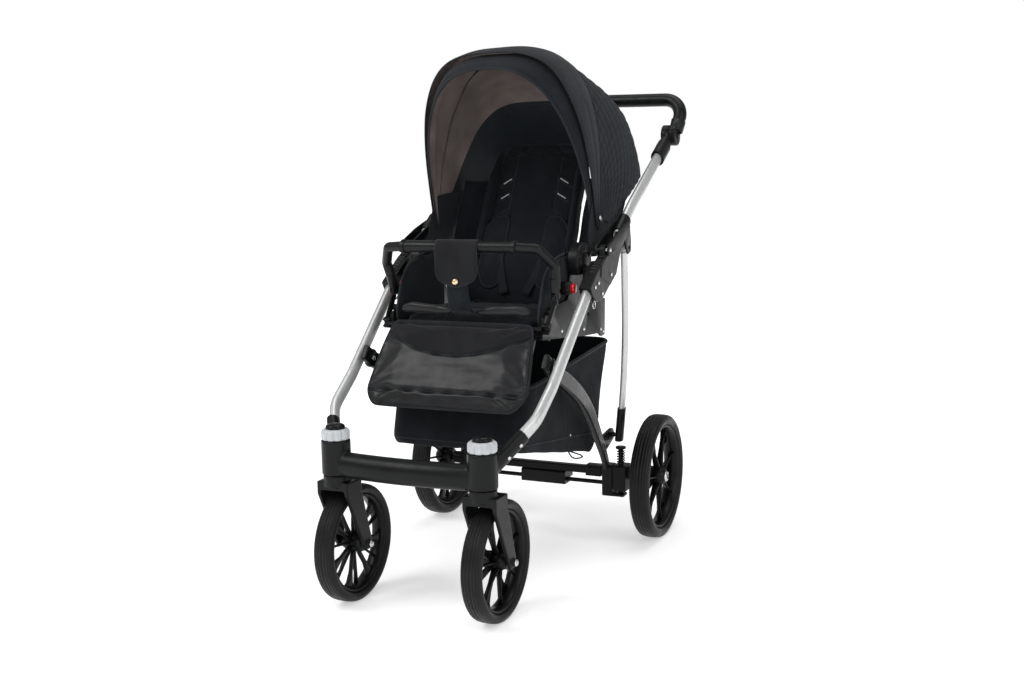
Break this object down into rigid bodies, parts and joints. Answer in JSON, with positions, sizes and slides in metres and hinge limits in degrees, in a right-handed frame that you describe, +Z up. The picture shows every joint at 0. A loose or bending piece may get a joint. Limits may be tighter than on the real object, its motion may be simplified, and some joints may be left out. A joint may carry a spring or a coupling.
{
  "type": "baby stroller",
  "caption": "Folding baby stroller with a reclining hooded seat, legrest, bumper bar, shopping basket, adjustable handle, swivel front wheels and sprung rear wheels with a foot brake.",
  "frame": {"origin": "on the floor, under the centre of the stroller's bounding box", "axes": "+Z up, the child faces -Y, +X is the child's left; the stroller is symmetric about the YZ plane"},
  "size_m": [0.616, 1.0454, 1.1317],
  "materials": {
    "tube": "satin anodised",
    "plastic": "fine moulded grain",
    "plastic_gloss": "polished",
    "grip_foam": "soft grip skin",
    "tyre": "foam-filled tread",
    "ring_grey": "silver-grey moulded",
    "steel": "zinc plated",
    "black_steel": "black powder coat",
    "fabric": "woven polyester",
    "fabric_pad": "soft brushed knit",
    "leatherette": "soft grained leatherette",
    "red": "polished"
  },
  "bodies": {
    "chassis": {"front_casting": "plastic", "front_tube_left": "tube", "front_tube_right": "tube", "hinge_housing_left": "plastic", "hinge_housing_right": "plastic", "frame_fasteners": "steel", "basket": "fabric"},
    "handle": {"handle_tube_left": "tube", "handle_tube_right": "tube", "handle_collar_left": "plastic", "handle_collar_right": "plastic", "handle_joints": "plastic"},
    "grip": {"grip_bar": "grip_foam", "grip_knuckles": "plastic"},
    "rear_legs": {"rear_leg_left": "tube", "rear_leg_right": "tube", "leg_fittings": "plastic"},
    "rear_frame": {"arch_link_left": "plastic", "arch_link_right": "plastic", "rear_beam": "black_steel", "suspension_brackets": "plastic", "suspension_spring_left": "steel", "suspension_spring_right": "steel", "brake_housing": "plastic"},
    "brake": {"brake_pedal": "plastic"},
    "seat": {"seat_frame": "plastic", "seat_joint_discs": "plastic", "seat_pad": "fabric", "side_panels": "fabric", "crotch_strap": "fabric"},
    "backrest": {"backrest_frame": "plastic", "backrest_pad": "fabric", "harness_pads": "fabric_pad", "hood_rear": "fabric"},
    "hood_front": {"hood_front": "fabric"},
    "hood_visor": {"hood_visor": "fabric"},
    "legrest": {"legrest_board": "plastic", "legrest_pad": "leatherette"},
    "bumper": {"bumper_bar": "grip_foam", "crotch_flap": "fabric"},
    "caster_left": {"caster_fork_left": "plastic"},
    "front_wheel_left": {"tyre_front_left": "tyre", "rim_front_left": "plastic"},
    "lock_ring_left": {"swivel_lock_ring_left": "ring_grey"},
    "fold_slider_left": {"fold_slider_left": "plastic"},
    "grip_button_left": {"grip_button_left": "plastic"},
    "carrier_left": {"wheel_carrier_left": "plastic"},
    "rear_wheel_left": {"tyre_rear_left": "tyre", "rim_rear_left": "plastic"},
    "release_button_left": {"release_button_left": "red"},
    "caster_right": {"caster_fork_right": "plastic"},
    "front_wheel_right": {"tyre_front_right": "tyre", "rim_front_right": "plastic"},
    "lock_ring_right": {"swivel_lock_ring_right": "ring_grey"},
    "fold_slider_right": {"fold_slider_right": "plastic"},
    "grip_button_right": {"grip_button_right": "plastic"},
    "carrier_right": {"wheel_carrier_right": "plastic"},
    "rear_wheel_right": {"tyre_rear_right": "tyre", "rim_rear_right": "plastic"},
    "release_button_right": {"release_button_right": "red"}
  },
  "joints": [
    {"name": "handle_fold", "type": "hinge", "parent": "chassis", "child": "handle", "pos_m": [0.24, -0.01124, 0.693], "axis": [-1, 0, 0], "range_deg": [-125, 0]},
    {"name": "rear_leg_swing", "type": "hinge", "parent": "handle", "child": "rear_legs", "pos_m": [0.24, 0.11976, 0.69], "axis": [-1, 0, 0], "range_deg": [-0.5, 90]},
    {"name": "rear_frame_swing", "type": "hinge", "parent": "chassis", "child": "rear_frame", "pos_m": [0.207, -0.23524, 0.472], "axis": [-1, 0, 0], "range_deg": [-33, 0.5]},
    {"name": "grip_tilt", "type": "hinge", "parent": "handle", "child": "grip", "pos_m": [0.24, 0.45476, 0.942], "axis": [-1, 0, 0], "range_deg": [0, 60]},
    {"name": "brake_press", "type": "hinge", "parent": "rear_frame", "child": "brake", "pos_m": [0, 0.22076, 0.119], "axis": [-1, 0, 0], "range_deg": [0, 18]},
    {"name": "seat_lift_off", "type": "slide", "parent": "chassis", "child": "seat", "axis": [0, 0, 1], "range_m": [0, 0.04]},
    {"name": "backrest_recline", "type": "hinge", "parent": "seat", "child": "backrest", "pos_m": [0, 0.05476, 0.546], "axis": [-1, 0, 0], "range_deg": [0, 50]},
    {"name": "hood_fold", "type": "hinge", "parent": "backrest", "child": "hood_front", "pos_m": [0, 0.06276, 0.717], "axis": [-1, 0, 0], "range_deg": [0, 45]},
    {"name": "visor_tuck", "type": "hinge", "parent": "hood_front", "child": "hood_visor", "pos_m": [0, 0.06276, 0.717], "axis": [-1, 0, 0], "range_deg": [0, 12]},
    {"name": "legrest_lift", "type": "hinge", "parent": "seat", "child": "legrest", "pos_m": [0, -0.20624, 0.545], "axis": [-1, 0, 0], "range_deg": [0, 50]},
    {"name": "bumper_pull_off", "type": "slide", "parent": "seat", "child": "bumper", "axis": [0, -0.2316, 0.9728], "range_m": [0, 0.06]},
    {"name": "caster_swivel_left", "type": "hinge", "parent": "chassis", "child": "caster_left", "pos_m": [0.161, -0.45524, 0.3], "axis": [0, 0, 1], "continuous": true},
    {"name": "front_wheel_spin_left", "type": "hinge", "parent": "caster_left", "child": "front_wheel_left", "pos_m": [0.161, -0.40274, 0.12], "axis": [1, 0, 0], "continuous": true},
    {"name": "swivel_lock_turn_left", "type": "hinge", "parent": "chassis", "child": "lock_ring_left", "pos_m": [0.161, -0.45524, 0.35], "axis": [0, 0, 1], "range_deg": [0, 90]},
    {"name": "fold_slider_slide_left", "type": "slide", "parent": "handle", "child": "fold_slider_left", "axis": [0, -0.8747, -0.4847], "range_m": [0, 0.022]},
    {"name": "grip_button_press_left", "type": "slide", "parent": "grip", "child": "grip_button_left", "axis": [-1, 0, 0], "range_m": [0, 0.003], "stiffness_N_per_m": 600, "springref_m": -0.003},
    {"name": "suspension_left", "type": "slide", "parent": "rear_frame", "child": "carrier_left", "axis": [0, 0, 1], "range_m": [0, 0.012], "stiffness_N_per_m": 3500, "springref_m": -0.03, "deforming": ["suspension_spring_left"]},
    {"name": "rear_wheel_spin_left", "type": "hinge", "parent": "carrier_left", "child": "rear_wheel_left", "pos_m": [0.281, 0.23226, 0.145], "axis": [1, 0, 0], "continuous": true},
    {"name": "release_button_press_left", "type": "slide", "parent": "seat", "child": "release_button_left", "axis": [-1, 0, 0], "range_m": [0, 0.003], "stiffness_N_per_m": 600, "springref_m": -0.003},
    {"name": "caster_swivel_right", "type": "hinge", "parent": "chassis", "child": "caster_right", "pos_m": [-0.161, -0.45524, 0.3], "axis": [0, 0, 1], "continuous": true},
    {"name": "front_wheel_spin_right", "type": "hinge", "parent": "caster_right", "child": "front_wheel_right", "pos_m": [-0.161, -0.40274, 0.12], "axis": [1, 0, 0], "continuous": true},
    {"name": "swivel_lock_turn_right", "type": "hinge", "parent": "chassis", "child": "lock_ring_right", "pos_m": [-0.161, -0.45524, 0.35], "axis": [0, 0, 1], "range_deg": [0, 90]},
    {"name": "fold_slider_slide_right", "type": "slide", "parent": "handle", "child": "fold_slider_right", "axis": [0, -0.8747, -0.4847], "range_m": [0, 0.022]},
    {"name": "grip_button_press_right", "type": "slide", "parent": "grip", "child": "grip_button_right", "axis": [1, 0, 0], "range_m": [0, 0.003], "stiffness_N_per_m": 600, "springref_m": -0.003},
    {"name": "suspension_right", "type": "slide", "parent": "rear_frame", "child": "carrier_right", "axis": [0, 0, 1], "range_m": [0, 0.012], "stiffness_N_per_m": 3500, "springref_m": -0.03, "deforming": ["suspension_spring_right"]},
    {"name": "rear_wheel_spin_right", "type": "hinge", "parent": "carrier_right", "child": "rear_wheel_right", "pos_m": [-0.281, 0.23226, 0.145], "axis": [1, 0, 0], "continuous": true},
    {"name": "release_button_press_right", "type": "slide", "parent": "seat", "child": "release_button_right", "axis": [1, 0, 0], "range_m": [0, 0.003], "stiffness_N_per_m": 600, "springref_m": -0.003}
  ],
  "couplings": [
    {"joint": "rear_frame_swing", "follows": "handle_fold", "ratio": 0.2512},
    {"joint": "rear_leg_swing", "follows": "handle_fold", "ratio": -0.6928}
  ]
}
